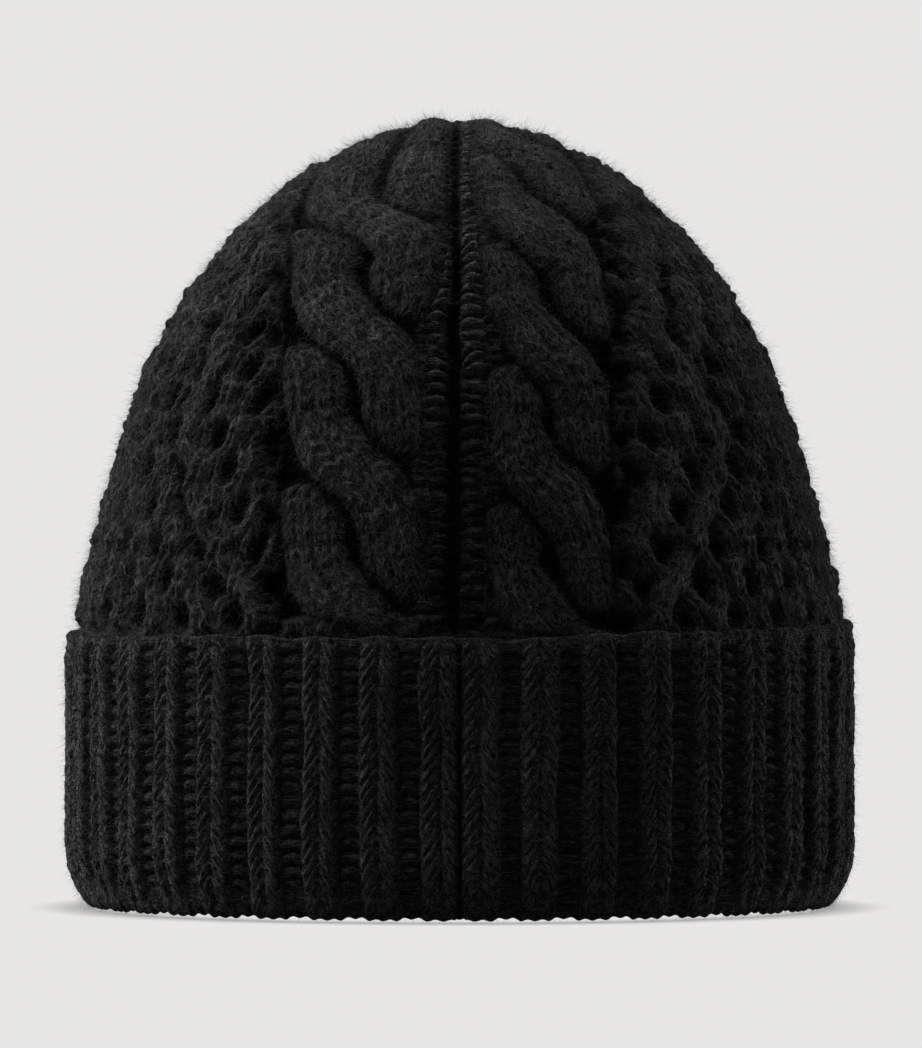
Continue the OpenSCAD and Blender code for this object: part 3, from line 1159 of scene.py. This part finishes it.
def lower_with(plane, mark):
    """Move the floor down with the mark whenever it is below z = 0."""
    tree = bpy.data.node_groups.new("floor_height", "GeometryNodeTree")
    for direction in ("INPUT", "OUTPUT"):
        tree.interface.new_socket("Geometry", in_out=direction, socket_type="NodeSocketGeometry")
    source = add_node(tree, "NodeGroupInput", {})
    info = add_node(tree, "GeometryNodeObjectInfo", {0: mark}, transform_space="RELATIVE")
    parts = add_node(tree, "ShaderNodeSeparateXYZ", {0: info.outputs["Location"]})
    drop = add_node(tree, "ShaderNodeMath", {0: parts.outputs[2], 1: 0.0}, operation="MINIMUM")
    shift = add_node(tree, "ShaderNodeCombineXYZ", {2: drop.outputs[0]})
    inputs = {0: source.outputs[0], "Translation": shift.outputs[0]}
    moved = add_node(tree, "GeometryNodeTransform", inputs)
    add_node(tree, "NodeGroupOutput", {0: moved.outputs[0]})
    plane.modifiers.new("height", "NODES").node_group = tree


def make_world():
    """The backdrop colour, at full strength for the camera and weaker as light."""
    world = bpy.data.worlds.new("studio")
    scene.world = world
    world.use_nodes = True
    tree = world.node_tree
    background = tree.nodes["Background"]
    background.inputs[0].default_value = BACKDROP
    ray = add_node(tree, "ShaderNodeLightPath", {}).outputs["Is Camera Ray"]
    inputs = {"To Min": 0.30, "To Max": 1.0, "Value": ray}
    strength = add_node(tree, "ShaderNodeMapRange", inputs)
    tree.links.new(strength.outputs[0], background.inputs[1])


scene = bpy.context.scene
floor = make_floor()

# the floor drops with the turned-down cuff, so that the hat always stands on it
edge_mark = bpy.data.objects.new("cuff_edge_mark", None)
scene.collection.objects.link(edge_mark)
edge_mark.location = (0.0, -0.0925, 0.0682)
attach(edge_mark, "cuff_strip_01")
lower_with(floor, edge_mark)

scene.view_settings.view_transform = "Standard"
scene.view_settings.look = "None"
scene.view_settings.exposure = 0.0
scene.view_settings.gamma = 1.0
make_world()

# ------------------------------------------------------------------ lights
hat_only = bpy.data.collections.new("lit_by_lamps")
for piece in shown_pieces():
    hat_only.objects.link(piece)


def area_lamp(name, location, target_z, size, power):
    """A square lamp aimed at the axis, lighting only the hat."""
    light = bpy.data.lights.new(name, "AREA")
    light.energy = power
    light.size = size
    lamp = bpy.data.objects.new(name, light)
    scene.collection.objects.link(lamp)
    lamp.location = location
    aim = Vector((0, 0, target_z)) - Vector(location)
    lamp.rotation_euler = aim.to_track_quat("-Z", "Y").to_euler()
    lamp.visible_camera = False
    lamp.light_linking.receiver_collection = hat_only


area_lamp("side_left", (-1.15, 0.40, 0.60), target_z=0.09, size=0.8, power=80)
area_lamp("side_right", (1.15, 0.50, 0.50), target_z=0.09, size=0.8, power=45)
area_lamp("top_left", (-0.95, -0.40, 1.10), target_z=0.10, size=0.7, power=22)
area_lamp("top", (-0.05, 0.10, 1.50), target_z=0.10, size=0.9, power=25)

# ------------------------------------------------------------------ camera
VIEW_CENTRE = Vector((0.00036165, 0, 0.09188321))  # in the plane through the hat's axis
VIEW_HEIGHT = 0.2526728  # height of the view in that plane
CAMERA_DISTANCE = 6.0
CAMERA_RISE = math.radians(1.6)
SENSOR = 36.0

lens = bpy.data.cameras.new("camera")
camera = bpy.data.objects.new("camera", lens)
scene.collection.objects.link(camera)
scene.camera = camera
towards_camera = Vector((0, -math.cos(CAMERA_RISE), math.sin(CAMERA_RISE)))
camera.location = VIEW_CENTRE + towards_camera * CAMERA_DISTANCE
camera.rotation_mode = "QUATERNION"
camera.rotation_quaternion = (-towards_camera).to_track_quat("-Z", "Y")
lens.sensor_fit = "VERTICAL"
lens.sensor_height = SENSOR
lens.sensor_width = SENSOR
lens.lens = SENSOR * CAMERA_DISTANCE / VIEW_HEIGHT
lens.clip_start, lens.clip_end = 0.1, 30

# loose fibres; the two small pieces get fewer
FEW_FIBRES = {"back_seam_strip": 700, "gathered_top": 250}
for i, piece in enumerate(crown_pieces):
    fuzz(piece, FEW_FIBRES.get(piece.name, 15000), length=0.0030, seed=100 + i)
for i, piece in enumerate(strips):
    fuzz(piece, 2000, length=0.0027, seed=300 + i)
